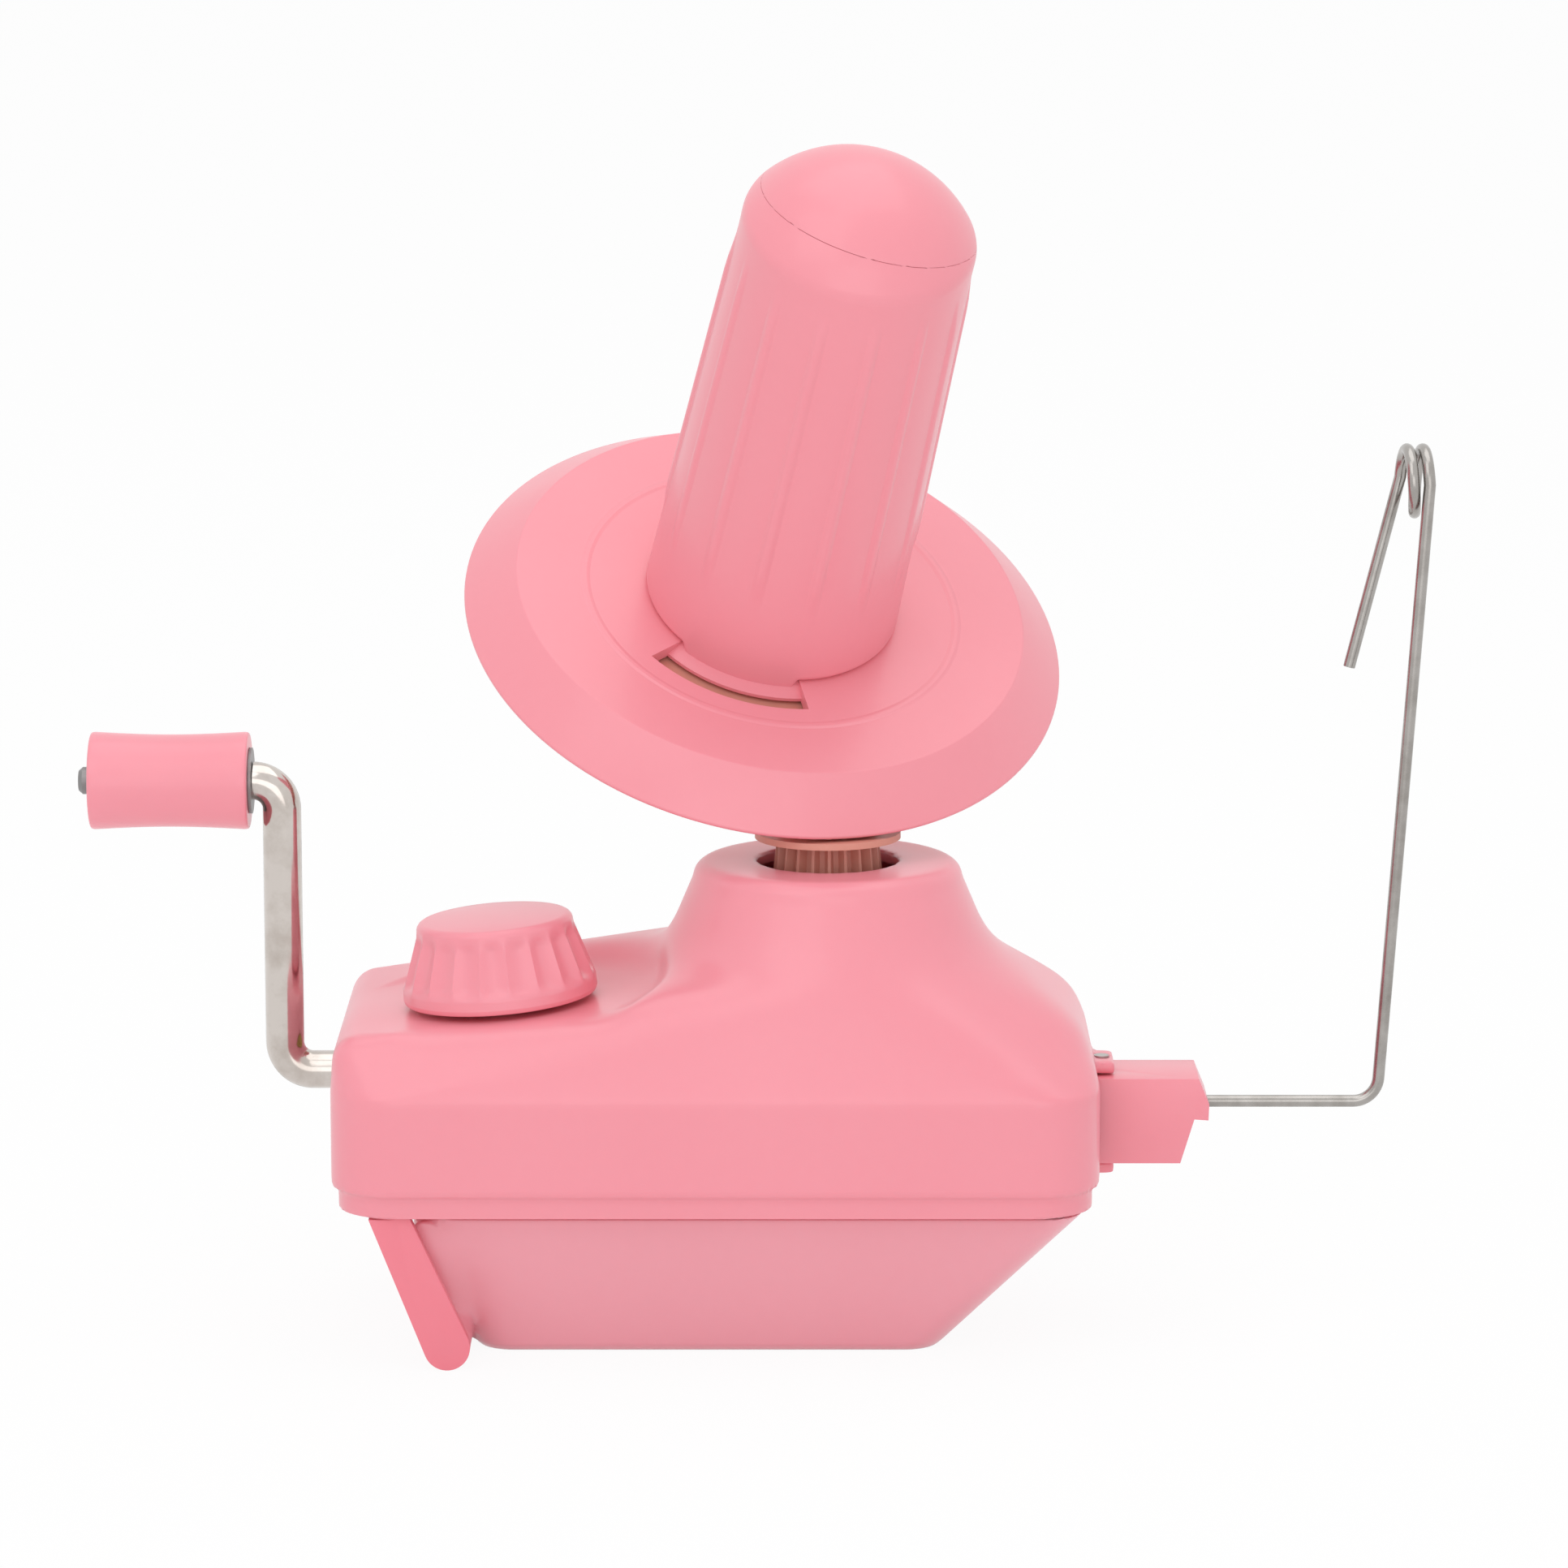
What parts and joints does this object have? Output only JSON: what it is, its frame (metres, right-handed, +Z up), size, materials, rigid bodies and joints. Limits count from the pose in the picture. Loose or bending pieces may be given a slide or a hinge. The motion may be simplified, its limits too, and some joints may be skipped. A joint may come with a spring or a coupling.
{
  "type": "yarn ball winder",
  "caption": "Hand-cranked yarn ball winder: tilted ribbed spool with a flange on a geared carrier, bent crank with a turning grip, wire yarn guide and hinged table clamp with a fluted knob.",
  "frame": {"origin": "foot of the vertical winding axis on the flat bottom of the lower jaw", "axes": "+Z up, +X towards the yarn guide, the crank at -X, the front at -Y"},
  "size_m": [0.2664, 0.1308, 0.2354],
  "materials": {
    "shell": "smooth glossy pink moulding",
    "spool": "smooth glossy pink moulding",
    "rod": "bright plated",
    "wire": "drawn wire",
    "steel": "turned",
    "dark_steel": "dark oxide",
    "gear": "tan acetal",
    "bronze": "oiled sleeve",
    "rubber": "matt sheet"
  },
  "bodies": {
    "jaw": {"clamp_jaw": "shell", "jaw_plate": "shell", "jaw_pad": "rubber", "jaw_screws": "dark_steel", "hinge_pin": "steel"},
    "housing": {"upper_shell": "shell", "base_plate": "shell", "housing_pad": "rubber", "housing_screws": "dark_steel", "bearing_bracket": "shell", "bracket_screws": "dark_steel", "neck_bush": "bronze", "sun_gear": "gear", "crank_bush": "bronze", "crank_post": "shell", "guide_pin": "steel", "knob_washer": "dark_steel"},
    "crank": {"crank_rod": "rod", "crank_gear": "gear", "crank_collar": "dark_steel", "grip_washer": "dark_steel", "grip_nut": "dark_steel"},
    "grip": {"grip": "shell"},
    "rotor": {"rotor_shaft": "steel", "rotor_pinion": "gear", "tilt_carrier": "gear", "spool_axle": "steel", "axle_washer": "dark_steel", "axle_clip": "dark_steel"},
    "spool": {"spool_flange": "spool", "spool_barrel": "spool", "spool_cap": "spool", "spool_bushes": "bronze"},
    "knob": {"clamp_knob": "shell", "clamp_screw": "steel"},
    "nut": {"barrel_nut": "steel"},
    "guide_arm": {"guide_block": "shell"},
    "guide_wire": {"guide_wire": "wire"}
  },
  "joints": [
    {"name": "clamp_open", "type": "hinge", "parent": "jaw", "child": "housing", "pos_m": [-0.0741, 0, 0.0045], "axis": [0, -1, 0], "range_deg": [0, 18]},
    {"name": "crank_spin", "type": "hinge", "parent": "housing", "child": "crank", "pos_m": [-0.0968, 0, 0.051], "axis": [1, 0, 0], "continuous": true},
    {"name": "grip_spin", "type": "hinge", "parent": "crank", "child": "grip", "pos_m": [-0.13, 0, 0.1093], "axis": [1, 0, 0], "continuous": true},
    {"name": "rotor_spin", "type": "hinge", "parent": "housing", "child": "rotor", "pos_m": [0, 0, 0.0936], "axis": [0, 0, 1], "continuous": true},
    {"name": "spool_spin", "type": "hinge", "parent": "rotor", "child": "spool", "pos_m": [0, 0, 0.1924], "axis": [0.1819, -0.5165, 0.8368], "continuous": true},
    {"name": "knob_turn", "type": "hinge", "parent": "housing", "child": "knob", "pos_m": [-0.0642, -0.011, 0.0672], "axis": [-0.0785, 0, 0.9969], "range_deg": [0, 900]},
    {"name": "nut_slide", "type": "slide", "parent": "housing", "child": "nut", "axis": [0.0785, 0, -0.9969], "range_m": [0, 0.005]},
    {"name": "guide_swing", "type": "hinge", "parent": "housing", "child": "guide_arm", "pos_m": [0.0544, 0, 0.043], "axis": [0, 0, 1], "range_deg": [-50, 50]},
    {"name": "guide_wire_turn", "type": "hinge", "parent": "guide_arm", "child": "guide_wire", "pos_m": [0.0754, 0, 0.0445], "axis": [1, 0, 0], "range_deg": [-90, 90]}
  ],
  "couplings": [
    {"joint": "rotor_spin", "follows": "crank_spin", "ratio": 3},
    {"joint": "spool_spin", "follows": "crank_spin", "ratio": -0.46875},
    {"joint": "clamp_open", "follows": "knob_turn", "ratio": 0.02},
    {"joint": "nut_slide", "follows": "knob_turn", "m_per_rad": 0.00031831}
  ]
}
